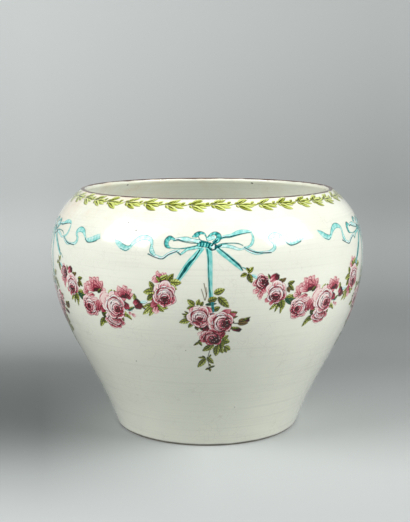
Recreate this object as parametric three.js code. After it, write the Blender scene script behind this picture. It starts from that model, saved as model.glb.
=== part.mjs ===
// Jardiniere bowl: one piece of thrown and glazed earthenware, wide at the belly and open at the top.
// Millimetres, +Z up, with the origin in the middle of the foot, on the surface that the bowl stands on.

import * as THREE from 'three';

// Outline of the outside
const footRadius = 92;
const bellyRadius = 155;
const bellyHeight = 172;
const mouthRadius = 124;
const lipHeight = 236;

// How far the wall leans off upright, in degrees: outwards over the foot, inwards under the lip
const footLean = 19;
const shoulderLean = 52;

// How long each end of a wall curve keeps its direction, as a share of the height that the curve climbs
const wallHold = 0.39;
const shoulderHoldAtBelly = 0.44;
const shoulderHoldAtLip = 0.28;

// Body of the clay
const wallThickness = 6.5;
const floorThickness = 9;
const floorBlend = 26;

// Turned foot: a flat ring round a shallow recess
const footRingWidth = 9;
const footRecess = 4;
const footEdgeRadius = 1.6;

// Fineness of the faceted solid
const turnSteps = 72;
const wallSteps = 12;
const shoulderSteps = 9;
const lipOuterSteps = 2;
const lipInnerSteps = 5;
const edgeSteps = 3;
const floorBlendSteps = 5;

// Directions round an arc, in degrees from the outward radius
const outwards = 0;
const up = 90;
const inwards = 180;
const down = 270;

const glazedCream = new THREE.MeshStandardMaterial({
  name: 'glazed_cream',
  color: 0xeeeed9,
  roughness: 0.16,
  metalness: 0,
});

// A point of the section: x is its radius and y its height, as LatheGeometry reads them
const at = (radius, height) => new THREE.Vector2(radius, height);

// Direction of a wall on its way up, leaning outwards off upright by the given degrees
function climbing(lean) {
  const angle = THREE.MathUtils.degToRad(lean);
  return at(Math.sin(angle), Math.cos(angle));
}

// Points of an arc round a centre, from one direction to another, clockwise where the second is lower
function arc(centre, radius, from, to, steps) {
  const start = THREE.MathUtils.degToRad(from);
  const end = THREE.MathUtils.degToRad(to);
  return new THREE.ArcCurve(centre.x, centre.y, radius, start, end, to < from).getPoints(steps);
}

// Underside, from the axis over the recess and the foot ring to the foot's outer edge
function underside() {
  const ringInner = footRadius - footRingWidth;
  const recessRadius = footRecess - footEdgeRadius;
  const recessCorner = at(ringInner - recessRadius, footEdgeRadius);
  const innerEdge = at(ringInner + footEdgeRadius, footEdgeRadius);
  const outerEdge = at(footRadius - footEdgeRadius * climbing(footLean).y, footEdgeRadius);
  return [
    at(0, footRecess),
    ...arc(recessCorner, recessRadius, up, outwards, edgeSteps),
    ...arc(innerEdge, footEdgeRadius, inwards, down, edgeSteps).slice(1),
    ...arc(outerEdge, footEdgeRadius, down, down + up - footLean, edgeSteps),
  ];
}

// Outside of the wall: from the foot to the belly, and from there over the shoulder to the lip.
// The two curves meet upright at the belly.
function wallCurves() {
  const overFoot = climbing(footLean);
  const overShoulder = climbing(-shoulderLean);
  const foot = at(footRadius, footEdgeRadius * (1 - overFoot.x));
  const belly = at(bellyRadius, bellyHeight);
  const lip = at(mouthRadius, lipHeight - lipRise());
  const wallClimb = belly.y - foot.y;
  const shoulderClimb = lip.y - belly.y;
  const wall = new THREE.CubicBezierCurve(
    foot,
    foot.clone().addScaledVector(overFoot, (wallHold * wallClimb) / overFoot.y),
    at(bellyRadius, bellyHeight - wallHold * wallClimb),
    belly,
  );
  const shoulder = new THREE.CubicBezierCurve(
    belly,
    at(bellyRadius, bellyHeight + shoulderHoldAtBelly * shoulderClimb),
    lip.clone().addScaledVector(overShoulder, (-shoulderHoldAtLip * shoulderClimb) / overShoulder.y),
    lip,
  );
  return { wall, shoulder };
}

// The lip is half a turn round the middle of the wall's end, so its crest stands this much
// above the edge where the shoulder turns into it
function lipRise() {
  return (wallThickness / 2) * (1 + climbing(-shoulderLean).x);
}

// Points up a wall curve, pushed into the clay by a depth square to its outside
function pointsUp(curve, steps, depth) {
  return Array.from({ length: steps + 1 }, (_, step) => {
    const along = curve.getTangent(step / steps);
    const intoClay = at(-along.y, along.x);
    return curve.getPoint(step / steps).addScaledVector(intoClay, depth);
  });
}

// Both faces of the wall meet the belly twice, so the second curve leaves its first point out
function wallFace(depth) {
  const { wall, shoulder } = wallCurves();
  return [...pointsUp(wall, wallSteps, depth), ...pointsUp(shoulder, shoulderSteps, depth).slice(1)];
}

// Rounded lip over the wall's end, from its outer edge over the crest to its inner edge
function lip(outerEdge, innerEdge) {
  const middle = outerEdge.clone().lerp(innerEdge, 0.5);
  const radius = outerEdge.distanceTo(middle);
  return [
    ...arc(middle, radius, shoulderLean, up, lipOuterSteps).slice(1),
    ...arc(middle, radius, up, inwards + shoulderLean, lipInnerSteps).slice(1, -1),
  ];
}

// The inside runs down the wall, round the bottom in a soft blend, and over the floor to the axis
function insideDown(innerFace) {
  const floorTop = footRecess + floorThickness;
  const upright = innerFace.filter((point) => point.y > floorTop + floorBlend);
  const [lowest, next] = upright;
  const slope = (next.x - lowest.x) / (next.y - lowest.y);
  const corner = at(lowest.x - slope * (lowest.y - floorTop), floorTop);
  const blend = new THREE.QuadraticBezierCurve(lowest, corner, at(corner.x - floorBlend, floorTop));
  return [...upright.reverse(), ...blend.getPoints(floorBlendSteps).slice(1), at(0, floorTop)];
}

// Whole section of the clay, from the axis under the floor, round the lip, to the axis on the floor
function section() {
  const outside = wallFace(0);
  const inside = wallFace(wallThickness);
  return [
    ...underside(),
    ...outside.slice(1),
    ...lip(outside.at(-1), inside.at(-1)),
    ...insideDown(inside),
  ];
}

function bowl() {
  const mesh = new THREE.Mesh(new THREE.LatheGeometry(section(), turnSteps), glazedCream);
  mesh.name = 'jardiniere_bowl';
  // The lathe turns the section round Y, and the bowl stands along Z
  mesh.rotation.x = Math.PI / 2;
  return mesh;
}

const group = new THREE.Group();
group.name = 'jardiniere';
group.add(bowl());

export default group;
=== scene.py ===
import bpy
import bmesh
import functools
import math
import numpy as np
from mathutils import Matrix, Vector
from mathutils.geometry import interpolate_bezier


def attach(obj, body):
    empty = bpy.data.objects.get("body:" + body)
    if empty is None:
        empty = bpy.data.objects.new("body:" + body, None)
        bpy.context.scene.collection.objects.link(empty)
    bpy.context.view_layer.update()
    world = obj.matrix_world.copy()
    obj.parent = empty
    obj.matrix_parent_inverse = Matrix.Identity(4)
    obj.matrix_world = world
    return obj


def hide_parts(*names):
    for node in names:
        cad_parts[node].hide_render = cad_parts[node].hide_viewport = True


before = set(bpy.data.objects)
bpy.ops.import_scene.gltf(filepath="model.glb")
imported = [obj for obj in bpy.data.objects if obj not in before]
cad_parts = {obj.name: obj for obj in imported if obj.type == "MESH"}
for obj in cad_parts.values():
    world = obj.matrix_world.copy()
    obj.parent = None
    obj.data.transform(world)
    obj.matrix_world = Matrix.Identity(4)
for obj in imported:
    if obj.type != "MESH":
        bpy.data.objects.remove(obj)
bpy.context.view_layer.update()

scene = bpy.context.scene
scene.view_settings.view_transform = "Standard"


# ---- helpers that several stages use


def linear(parts):
    # sRGB between 0 and 1, as a picture editor has it, into the linear light that a shader wants
    return np.where(parts <= 0.04045, parts / 12.92, ((parts + 0.055) / 1.055) ** 2.4)


def srgb(*parts):
    return tuple(linear(np.array(parts) / 255).tolist())


def inset(share, edge=0.004):
    # a place on an unrolled surface, a little inside the edges of its picture
    return edge + (1 - 2 * edge) * share


def feed(tree, node, feeds):
    # feeds: socket name or number -> a value, or another node's output
    for socket, value in feeds.items():
        if isinstance(value, bpy.types.NodeSocket):
            tree.links.new(value, node.inputs[socket])
        else:
            node.inputs[socket].default_value = value


def addNode(tree, kind, feeds=(), **settings):
    node = tree.nodes.new(kind)
    for name, value in settings.items():
        setattr(node, name, value)
    feed(tree, node, dict(feeds))
    return node


def math2(tree, operation, first, *others):
    for other in others:
        first = addNode(tree, "ShaderNodeMath", {0: first, 1: other}, operation=operation).outputs[0]
    return first


def times(tree, *values):
    return math2(tree, "MULTIPLY", *values)


def vectorMath(tree, operation, *values):
    node = addNode(tree, "ShaderNodeVectorMath", enumerate(values), operation=operation)
    return node.outputs["Value" if operation in ("LENGTH", "DISTANCE") else "Vector"]


def ramp(tree, value, low, high, kind="SMOOTHSTEP", toLow=0.0, toHigh=1.0):
    feeds = {"Value": value, "From Min": low, "From Max": high, "To Min": toLow, "To Max": toHigh}
    return addNode(tree, "ShaderNodeMapRange", feeds, interpolation_type=kind).outputs["Result"]


def noise(tree, where, scale, detail, roughness=0.5, output="Fac"):
    feeds = {"Scale": scale, "Detail": detail, "Roughness": roughness}
    if where is not None:
        feeds["Vector"] = where
    return addNode(tree, "ShaderNodeTexNoise", feeds).outputs[output]


def mixColour(tree, share, first, second, blend="MIX"):
    node = addNode(tree, "ShaderNodeMix", {0: share}, data_type="RGBA", blend_type=blend)
    for socket, colour in ((6, first), (7, second)):
        feed(tree, node, {socket: (*colour, 1) if isinstance(colour, tuple) else colour})
    return node.outputs[2]


def objectPlace(tree):
    # a point's place on its piece, whole and as X, Y and Z
    where = addNode(tree, "ShaderNodeTexCoord").outputs["Object"]
    return where, addNode(tree, "ShaderNodeSeparateXYZ", {0: where}).outputs


def newMaterial(name):
    material = bpy.data.materials.new(name)
    material.use_nodes = True
    tree = material.node_tree
    return material, tree, tree.nodes["Principled BSDF"]


def addPiece(name, mesh, material, body=None):
    piece = bpy.data.objects.new(name, mesh)
    scene.collection.objects.link(piece)
    mesh.materials.append(material)
    mesh.polygons.foreach_set("use_smooth", np.ones(len(mesh.polygons), bool))
    mesh.update()
    if body:
        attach(piece, body)
    return piece


# ---- camera: the photo's own place, first, so that everything after it can be judged through it
cameraView = dict(
    distance=0.9505,  # in front of the bowl's axis, metres
    height=0.3151,
    lookDown=9.194,  # degrees
    turnLeft=0.118,  # the bowl stands a hair right of the frame's middle
    lens=65.92, sensor=36,  # millimetres
)


def addCamera(view):
    camera = bpy.data.objects.new("photoCamera", bpy.data.cameras.new("photoCamera"))
    camera.data.lens, camera.data.sensor_width = view["lens"], view["sensor"]
    camera.location = (0, -view["distance"], view["height"])
    camera.rotation_euler = (math.radians(90 - view["lookDown"]), 0, math.radians(view["turnLeft"]))
    scene.collection.objects.link(camera)
    scene.camera = camera


addCamera(cameraView)
print("camera set")

# ---- studio light: two softboxes in front and above, and a sky that is brightest overhead
softboxes = dict(
    leftSoftbox=dict(azimuth=-61, elevation=34, distance=1.7, width=1.1, height=0.92, power=26.2),
    rightSoftbox=dict(azimuth=63, elevation=35, distance=1.7, width=1.05, height=0.9, power=27.8),
)
sky = dict(colour=(0.95, 0.98, 1.0), overhead=0.20, level=0.12, lowest=0.35, highest=0.98, seen=0.62)
aimPoint = Vector((0, 0, 0.19))  # the softboxes face the shoulder


def addSoftboxes(boxes):
    for name, box in boxes.items():
        azimuth, elevation = math.radians(box["azimuth"]), math.radians(box["elevation"])
        towards = Vector((math.sin(azimuth) * math.cos(elevation),
                          -math.cos(azimuth) * math.cos(elevation), math.sin(elevation)))
        lamp = bpy.data.objects.new(name, bpy.data.lights.new(name, "AREA"))
        lamp.data.shape = "RECTANGLE"
        lamp.data.size, lamp.data.size_y = box["width"], box["height"]
        lamp.data.energy = box["power"]
        lamp.location = aimPoint + towards * box["distance"]
        lamp.rotation_euler = towards.to_track_quat("Z", "Y").to_euler()
        scene.collection.objects.link(lamp)


def addSky(s):
    world = bpy.data.worlds.new("studioSky")
    world.use_nodes = True
    tree = world.node_tree
    upward = addNode(tree, "ShaderNodeTexCoord").outputs["Generated"]
    upward = addNode(tree, "ShaderNodeSeparateXYZ", {0: upward}).outputs["Z"]
    glow = ramp(tree, upward, s["lowest"], s["highest"], toLow=s["level"], toHigh=s["overhead"])
    fromCamera = addNode(tree, "ShaderNodeLightPath").outputs["Is Camera Ray"]
    strength = addNode(tree, "ShaderNodeMix", {0: fromCamera, 2: glow, 3: s["seen"]}).outputs[0]
    feed(tree, tree.nodes["Background"], {"Color": (*s["colour"], 1), "Strength": strength})
    scene.world = world


addSoftboxes(softboxes)
addSky(sky)
print("lights set")

# ---- floor and backdrop: one seamless sheet, pale grey, with painted shade: deeper grey where it sweeps up, and a dark hollow to the left of the bowl where its shadow falls
backdrop = dict(
    front=3.6,  # how far the sheet reaches in front of the bowl, metres
    back=0.55,  # where it starts to sweep up
    sweep=0.6,  # radius of the sweep
    sweepSteps=24,
    wall=2.6,  # height above the sweep
    halfWidth=3.4,
    # painted shade: how the paleness runs along the sheet, (metres along it, how pale), on either side of the
    # bowl, darkest where shadow falls in the hollow and lighter up the lit wall
    leftward=((-0.26, 188), (-0.04, 121), (0.25, 160), (0.85, 205), (1.15, 199), (1.72, 219)),
    rightward=((-0.14, 189), (0.12, 173), (0.42, 147), (0.85, 171), (1.12, 163), (1.72, 195)),
    eye=0.95,  # the two sides fan out from this far in front of the bowl
    fan=0.18,  # and blend within this much to the side for each metre from there
    bounce=0.70,  # how much of that paleness the sheet throws back onto the bowl
    mottle=(0.3, 0.3, 0.3), mottled=0.03,
    roughness=0.75, specular=0.2,
)


def backdropMaterial(s):
    material, tree, shader = newMaterial("paleSweep")
    where, place = objectPlace(tree)
    away = math2(tree, "ADD", place["Y"], s["eye"])
    along = math2(tree, "ADD", place["Y"], place["Z"])
    reach = ramp(tree, along, -0.05, 0.5, toHigh=s["fan"])
    aside = ramp(tree, math2(tree, "DIVIDE", place["X"], away), -s["fan"], reach, "LINEAR")
    low, high = s["leftward"][0][0], s["leftward"][-1][0]
    share = ramp(tree, along, low, high, "LINEAR")
    # each side's run of painted shade, from the floor up the wall
    shadedSides = []
    for stops in (s["leftward"], s["rightward"]):
        node = addNode(tree, "ShaderNodeValToRGB", {0: share})
        node.color_ramp.interpolation = "CARDINAL"
        stones = node.color_ramp.elements
        while len(stones) < len(stops):
            stones.new(0.5)
        for stone, (distance, pale) in zip(stones, stops):
            stone.position = (distance - low) / (high - low)
            stone.color = (*srgb(pale - 3, pale + 1, pale), 1)
        shadedSides.append(node.outputs["Color"])
    tone = mixColour(tree, aside, *shadedSides)
    mottled = ramp(tree, noise(tree, None, 5, 2), 0.3, 0.7, toHigh=s["mottled"])
    tone = mixColour(tree, mottled, tone, s["mottle"])
    ray = addNode(tree, "ShaderNodeLightPath").outputs
    seen = math2(tree, "MAXIMUM", ray["Is Camera Ray"], ray["Is Glossy Ray"], ray["Is Transmission Ray"])
    kept = ramp(tree, seen, 0, 1, "LINEAR", s["bounce"], 1)
    dimmed = addNode(tree, "ShaderNodeVectorMath", {0: tone, "Scale": kept}, operation="SCALE").outputs[0]
    feed(tree, shader, {"Base Color": dimmed, "Roughness": s["roughness"]})
    feed(tree, shader, {"Specular IOR Level": s["specular"]})
    # seen from behind or below, the sheet lets a camera look through at the bowl
    behind = times(tree, addNode(tree, "ShaderNodeNewGeometry").outputs["Backfacing"], ray["Is Camera Ray"])
    clear = addNode(tree, "ShaderNodeBsdfTransparent").outputs[0]
    oneSided = addNode(tree, "ShaderNodeMixShader", {0: behind, 1: shader.outputs[0], 2: clear}).outputs[0]
    feed(tree, tree.nodes["Material Output"], {"Surface": oneSided})
    return material


def addBackdrop(s):
    shape = bmesh.new()
    front = shape.verts.new((-s["halfWidth"], -s["front"], 0))
    back = shape.verts.new((-s["halfWidth"], s["back"], 0))
    shape.edges.new((front, back))
    centre = (-s["halfWidth"], s["back"], s["sweep"])
    swept = bmesh.ops.spin(shape, geom=[back], cent=centre, axis=(1, 0, 0), angle=math.pi / 2,
                           steps=s["sweepSteps"])
    top = next(part for part in swept["geom_last"] if isinstance(part, bmesh.types.BMVert))
    up = bmesh.ops.extrude_vert_indiv(shape, verts=[top])["verts"]
    bmesh.ops.translate(shape, verts=up, vec=(0, 0, s["wall"]))
    across = bmesh.ops.extrude_edge_only(shape, edges=shape.edges[:])["geom"]
    moved = [part for part in across if isinstance(part, bmesh.types.BMVert)]
    bmesh.ops.translate(shape, verts=moved, vec=(2 * s["halfWidth"], 0, 0))
    bmesh.ops.recalc_face_normals(shape, faces=shape.faces[:])
    ground = min(shape.faces, key=lambda face: face.calc_center_median().z)
    if ground.normal.z < 0:
        bmesh.ops.reverse_faces(shape, faces=shape.faces[:])
    mesh = bpy.data.meshes.new("backdrop")
    shape.to_mesh(mesh)
    shape.free()
    addPiece("backdrop", mesh, backdropMaterial(s))


addBackdrop(backdrop)
print("floor and backdrop ready")


# ---- the bowl: the section is drawn as the CAD has it, in metres, and turned once round Z
bowl = dict(
    footRadius=0.092, bellyRadius=0.155, bellyHeight=0.172, mouthRadius=0.124, lipHeight=0.236,
    footLean=19, shoulderLean=52,  # degrees off upright
    wallHold=0.39, shoulderHoldAtBelly=0.44, shoulderHoldAtLip=0.28,
    wallThickness=0.0065, lipThickness=0.0048, floorThickness=0.009, floorBlend=0.026,
    footRingWidth=0.009, footRecess=0.004, footEdgeRadius=0.0016, recessRing=0.04,
    turnSteps=240, wallSteps=66, shoulderSteps=48, lipSteps=14, edgeSteps=5, blendSteps=17,
)


def climbing(lean):
    return Vector((math.sin(math.radians(lean)), 0, math.cos(math.radians(lean))))


def arc(centre, radius, start, end, steps):
    # degrees from the outward radius; the points run from start to end
    angles = [math.radians(start + (end - start) * step / steps) for step in range(steps + 1)]
    return [centre + Vector((math.cos(a), 0, math.sin(a))) * radius for a in angles]


def wallLines(b):
    # outside of the wall from foot to belly to lip, and the direction that points into the clay
    foot = Vector((b["footRadius"], 0, b["footEdgeRadius"] * (1 - climbing(b["footLean"]).x)))
    belly = Vector((b["bellyRadius"], 0, b["bellyHeight"]))
    lipRise = b["lipThickness"] / 2 * (1 + climbing(-b["shoulderLean"]).x)
    lip = Vector((b["mouthRadius"], 0, b["lipHeight"] - lipRise))
    wallClimb, shoulderClimb = belly.z - foot.z, lip.z - belly.z
    overFoot, overShoulder = climbing(b["footLean"]), climbing(-b["shoulderLean"])
    wall = interpolate_bezier(foot, foot + overFoot * (b["wallHold"] * wallClimb / overFoot.z),
                              belly - Vector((0, 0, b["wallHold"] * wallClimb)), belly, b["wallSteps"] + 1)
    lipHold = lip - overShoulder * (b["shoulderHoldAtLip"] * shoulderClimb / overShoulder.z)
    shoulder = interpolate_bezier(belly, belly + Vector((0, 0, b["shoulderHoldAtBelly"] * shoulderClimb)),
                                  lipHold, lip, b["shoulderSteps"] + 1)
    outside = wall + shoulder[1:]
    intoClay = []
    for i, point in enumerate(outside):
        along = (outside[min(i + 1, len(outside) - 1)] - outside[max(i - 1, 0)]).normalized()
        intoClay.append(Vector((-along.z, 0, along.x)))
    intoClay[0], intoClay[-1] = [Vector((-d.z, 0, d.x)) for d in (overFoot, overShoulder)]
    return outside, intoClay


def bowlSection(b):
    outside, intoClay = wallLines(b)
    # the wall thins over the shoulder, up to the lip
    thinning = b["wallThickness"] - b["lipThickness"]
    upShoulder = [max(0, i - b["wallSteps"]) / b["shoulderSteps"] for i in range(len(outside))]
    inside = [point + depth * (b["wallThickness"] - thinning * share ** 2)
              for point, depth, share in zip(outside, intoClay, upShoulder)]
    ringInner, edge = b["footRadius"] - b["footRingWidth"], b["footEdgeRadius"]
    hollow = b["footRecess"] - edge
    under = [Vector((x, 0, b["footRecess"])) for x in (0, b["recessRing"])]
    under += arc(Vector((ringInner - hollow, 0, edge)), hollow, 90, 0, b["edgeSteps"])
    under += arc(Vector((ringInner + edge, 0, edge)), edge, 180, 270, b["edgeSteps"])[1:]
    outerEdge = Vector((b["footRadius"] - edge * climbing(b["footLean"]).z, 0, edge))
    under += arc(outerEdge, edge, 270, 360 - b["footLean"], b["edgeSteps"])
    crest = arc((outside[-1] + inside[-1]) / 2, b["lipThickness"] / 2,
                b["shoulderLean"], 180 + b["shoulderLean"], b["lipSteps"])[1:-1]
    floorTop = b["footRecess"] + b["floorThickness"]
    upright = [point for point in inside if point.z > floorTop + b["floorBlend"]]
    slope = (upright[1].x - upright[0].x) / (upright[1].z - upright[0].z)
    corner = Vector((upright[0].x - slope * (upright[0].z - floorTop), 0, floorTop))
    flatFrom = corner - Vector((b["floorBlend"], 0, 0))
    holds = [end.lerp(corner, 2 / 3) for end in (upright[0], flatFrom)]
    blend = interpolate_bezier(upright[0], *holds, flatFrom, b["blendSteps"] + 1)
    inner = upright[::-1] + blend[1:] + [Vector((0, 0, floorTop))]
    return under + outside[1:] + crest + inner, len(inner)


def bowlMesh(b):
    section, innerCount = bowlSection(b)
    shape = bmesh.new()
    share = shape.verts.layers.float.new("alongSection")
    below = shape.verts.layers.float.new("belowLipInside")
    walked, lipAt, previous = 0.0, None, None
    for number, point in enumerate(section):
        vert = shape.verts.new(point)
        if previous:
            walked += (vert.co - previous.co).length
            shape.edges.new((previous, vert))
        if number == len(section) - innerCount:
            lipAt = walked
        vert[share] = walked
        vert[below] = 0.0 if lipAt is None else walked - lipAt
        previous = vert
    bmesh.ops.spin(shape, geom=shape.verts[:] + shape.edges[:], cent=(0, 0, 0), axis=(0, 0, 1),
                   angle=2 * math.pi, steps=b["turnSteps"], use_merge=True)
    bmesh.ops.remove_doubles(shape, verts=shape.verts[:], dist=1e-6)
    bmesh.ops.recalc_face_normals(shape, faces=shape.faces[:])
    unrolled = shape.loops.layers.uv.new("OFBake")
    for face in shape.faces:
        middle = face.calc_center_median()
        home = math.atan2(middle.y, middle.x)
        for loop in face.loops:
            turn = math.atan2(loop.vert.co.y, loop.vert.co.x) - home if loop.vert.co.xy.length > 1e-6 else 0
            turn = (turn + math.pi) % (2 * math.pi) - math.pi
            loop[unrolled].uv = (inset(0.5 + (home + turn) / (2 * math.pi)), inset(loop.vert[share] / walked))
    mesh = bpy.data.meshes.new("glazedBowl")
    shape.to_mesh(mesh)
    shape.free()
    return mesh

# ---- glaze: one node group, so that the print's own ground matches the bowl's without a seam
glaze = dict(
    cream=srgb(249, 251, 235),
    peach=srgb(243, 226, 200),  # where the glaze has yellowed over the shoulder
    yellowHeight=(0.188, 0.231), yellowSide=(0.10, -0.12), yellowPatches=(0.62, 0.95),  # from none to full
    shade=(0.62, 0.63, 0.50), shaded=0.05,
    ring=(0.55, 0.56, 0.47), ringed=0.12, ringSqueeze=(9, 9, 620),
    craze=srgb(176, 172, 150), crazed=0.16, crazeCells=150, crazeBend=0.012,
    crazeWidth=(0.035, 0.008), crazePatches=(0.42, 0.62),
    speck=srgb(74, 66, 54), specked=0.75, speckCells=38, speckSize=(0.024, 0.012), speckShare=(0.93, 0.94),
    roughness=0.15, crazeRoughness=0.08, blotchRoughness=0.05,
    coat=0.8, coatRoughness=0.09, ior=1.46,
    ripple=0.35, rippleDepth=0.002,  # strength of the bump, and its depth in metres
    ringHeight=0.10, fineHeight=0.012, crazeHeight=-0.01,  # shares of that bump
)


def glazeGroup(g):
    tree = bpy.data.node_groups.new("creamGlaze", "ShaderNodeTree")
    for label, kind in (("Color", "Color"), ("Roughness", "Float"), ("Height", "Float")):
        tree.interface.new_socket(label, in_out="OUTPUT", socket_type="NodeSocket" + kind)
    where, place = objectPlace(tree)
    cloud, blotch = noise(tree, where, 11, 4, 0.6), noise(tree, where, 34, 5, 0.65)
    # yellowing: high on the shoulder, more on the left
    high = ramp(tree, place["Z"], *g["yellowHeight"])
    leftward = ramp(tree, place["X"], *g["yellowSide"], "LINEAR", toLow=0.25)
    patchy = ramp(tree, math2(tree, "ADD", cloud, times(tree, blotch, 0.5)), *g["yellowPatches"])
    colour = mixColour(tree, times(tree, high, leftward, patchy), g["cream"], g["peach"])
    colour = mixColour(tree, ramp(tree, cloud, 0.35, 0.7, toHigh=g["shaded"]), colour, g["shade"])
    # turning marks: faint level rings
    squeezed = addNode(tree, "ShaderNodeMapping", {0: where, "Scale": g["ringSqueeze"]}).outputs[0]
    rings = noise(tree, squeezed, 1, 3)
    colour = mixColour(tree, ramp(tree, rings, 0.50, 0.70, toHigh=g["ringed"]), colour, g["ring"])
    # crazing: hairline cells, only here and there
    bent = vectorMath(tree, "MULTIPLY", noise(tree, where, 60, 2, output="Color"), (g["crazeBend"],) * 3)
    bent = {"Vector": vectorMath(tree, "ADD", where, bent), "Scale": g["crazeCells"]}
    cells = addNode(tree, "ShaderNodeTexVoronoi", bent, feature="DISTANCE_TO_EDGE").outputs["Distance"]
    crazed = times(tree, ramp(tree, cells, *g["crazeWidth"]), ramp(tree, blotch, *g["crazePatches"]))
    colour = mixColour(tree, times(tree, crazed, g["crazed"]), colour, g["craze"])
    # iron specks
    spots = addNode(tree, "ShaderNodeTexVoronoi", {"Vector": where, "Scale": g["speckCells"]}).outputs
    chosen = addNode(tree, "ShaderNodeSeparateColor", {0: spots["Color"]}).outputs[0]
    speck = times(tree, ramp(tree, chosen, *g["speckShare"]), ramp(tree, spots["Distance"], *g["speckSize"]))
    colour = mixColour(tree, times(tree, speck, g["specked"]), colour, g["speck"])
    height = math2(tree, "ADD", noise(tree, where, 26, 2), times(tree, rings, g["ringHeight"]),
                   times(tree, noise(tree, where, 420, 1), g["fineHeight"]),
                   times(tree, crazed, g["crazeHeight"]))
    rough = math2(tree, "ADD", g["roughness"], times(tree, crazed, g["crazeRoughness"]),
                  ramp(tree, blotch, 0.3, 0.8, toHigh=g["blotchRoughness"]))
    feed(tree, tree.nodes.new("NodeGroupOutput"), {"Color": colour, "Roughness": rough, "Height": height})
    return tree


creamGlaze = glazeGroup(glaze)


def glossOn(tree, shader, g, colour, rough, height, dulled, dulledBy):
    # what every glazed surface shares: a clear glass coat over a smooth body
    bump = {"Strength": g["ripple"], "Distance": g["rippleDepth"], "Height": height}
    feed(tree, shader, {
        "Base Color": colour, "Roughness": rough, "IOR": g["ior"], "Coat Weight": g["coat"],
        "Coat Roughness": g["coatRoughness"], "Normal": addNode(tree, "ShaderNodeBump", bump).outputs[0],
    })
    coat = math2(tree, "SUBTRACT", g["coat"], times(tree, dulled, dulledBy))
    feed(tree, shader, {"Coat Weight": coat})


lipAndFoot = dict(
    line=srgb(80, 42, 28),  # painted line over the lip
    lineInner=0.1207, lineOuter=0.1243, lineHeight=0.2342, lineSoft=0.0003, lineSway=0.0007,
    wornCover=0.8,  # of the line where it is worn
    # a dark band painted along the bottom of the foot, darker towards the floor
    footDarkBand=srgb(62, 56, 46), footDarkBandFrom=0.0028, footDarkBandTo=0.0012, footDarkBandSway=0.0006, footDarkBandCover=0.92,
    clay=srgb(206, 192, 166), clayFrom=0.0009, clayTo=0.0003, clayRoughness=0.8,  # bare body on the foot ring
    pit=srgb(70, 66, 44), pitCover=0.9,
    pits=((-0.0860, 0.0864, 0.2306, 0.0015), (0.0500, 0.1112, 0.2306, 0.0018)),  # x, y, z, size
    inside=srgb(246, 246, 252),  # painted shade inside the bowl: the glaze is darkened and cooled from this far below the lip
    insideShadeFrom=-0.0006, insideShadeTo=0.0024, insideShadeSway=0.001,
)


def bowlMaterial(s):
    material, tree, shader = newMaterial("glazedCreamBowl")
    ground = addNode(tree, "ShaderNodeGroup", node_tree=creamGlaze).outputs
    where, place = objectPlace(tree)
    radius = vectorMath(tree, "LENGTH", vectorMath(tree, "MULTIPLY", where, (1, 1, 0)))
    wander = noise(tree, where, 55, 3)

    def swayed(value, by):
        return math2(tree, "ADD", value, ramp(tree, wander, 0, 1, "LINEAR", -by, by))

    across, soft = swayed(radius, s["lineSway"]), s["lineSoft"]
    onLine = times(tree, ramp(tree, across, s["lineInner"] - soft, s["lineInner"] + soft),
                   ramp(tree, across, s["lineOuter"] + soft, s["lineOuter"] - soft),
                   math2(tree, "GREATER_THAN", place["Z"], s["lineHeight"]))
    worn = ramp(tree, wander, 0.30, 0.48, toLow=s["wornCover"])
    colour = mixColour(tree, times(tree, onLine, worn), ground["Color"], s["line"])
    # a dark band painted along the bottom of the foot, darker towards the floor
    low = ramp(tree, swayed(place["Z"], s["footDarkBandSway"]), s["footDarkBandFrom"], s["footDarkBandTo"])
    colour = mixColour(tree, times(tree, low, s["footDarkBandCover"]), colour, s["footDarkBand"])
    bare = times(tree, ramp(tree, place["Z"], s["clayFrom"], s["clayTo"]),
                 math2(tree, "GREATER_THAN", radius, 0.08))
    colour = mixColour(tree, bare, colour, s["clay"])
    # painted shade inside the bowl: below the lip's inner edge the colour is multiplied darker and cooler
    below = addNode(tree, "ShaderNodeAttribute", attribute_name="belowLipInside").outputs["Fac"]
    dulled = ramp(tree, swayed(below, s["insideShadeSway"]), s["insideShadeFrom"], s["insideShadeTo"])
    colour = mixColour(tree, dulled, colour, s["inside"], blend="MULTIPLY")
    # two dirty pits in the glaze, inside the far wall
    for *middle, size in s["pits"]:
        apart = vectorMath(tree, "DISTANCE", where, tuple(middle))
        colour = mixColour(tree, ramp(tree, apart, size, size / 2, toHigh=s["pitCover"]), colour, s["pit"])
    rough = addNode(tree, "ShaderNodeMix", {0: bare, 2: ground["Roughness"], 3: s["clayRoughness"]})
    uncoated = math2(tree, "MAXIMUM", bare, onLine)
    glossOn(tree, shader, glaze, colour, rough.outputs[0], ground["Height"], uncoated, glaze["coat"])
    return material


glazedBowl = addPiece("glazedBowl", bowlMesh(bowl), bowlMaterial(lipAndFoot), "root")
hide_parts("jardiniere_bowl")
print("bowl turned and glazed:", len(glazedBowl.data.polygons), "faces")


# ---- print: painted stroke by stroke on a flat sheet, then wrapped on the bowl.
# Sheet x is millimetres round the belly, y is millimetres down from the lip's edge.
inks = dict(  # each family from its palest ink to its darkest
    rose=((250, 222, 216), (214, 128, 136), (160, 44, 66), (84, 0, 18), (30, 0, 4)),
    leaf=((208, 218, 124), (134, 142, 40), (78, 86, 14), (36, 42, 4), (8, 10, 0)),
    teal=((208, 218, 124), (134, 142, 40), (14, 74, 48), (14, 74, 48), (8, 10, 0)),
    brown=((134, 142, 40), (100, 80, 36), (100, 80, 36), (36, 42, 4), (8, 10, 0)),
    ribbon=((226, 250, 246), (158, 226, 220), (98, 198, 192), (24, 126, 124), (4, 70, 76)),
)


def smooth(low, high, value):
    share = np.clip((value - low) / (high - low), 0.0, 1.0)
    return share * share * (3 - 2 * share)


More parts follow.
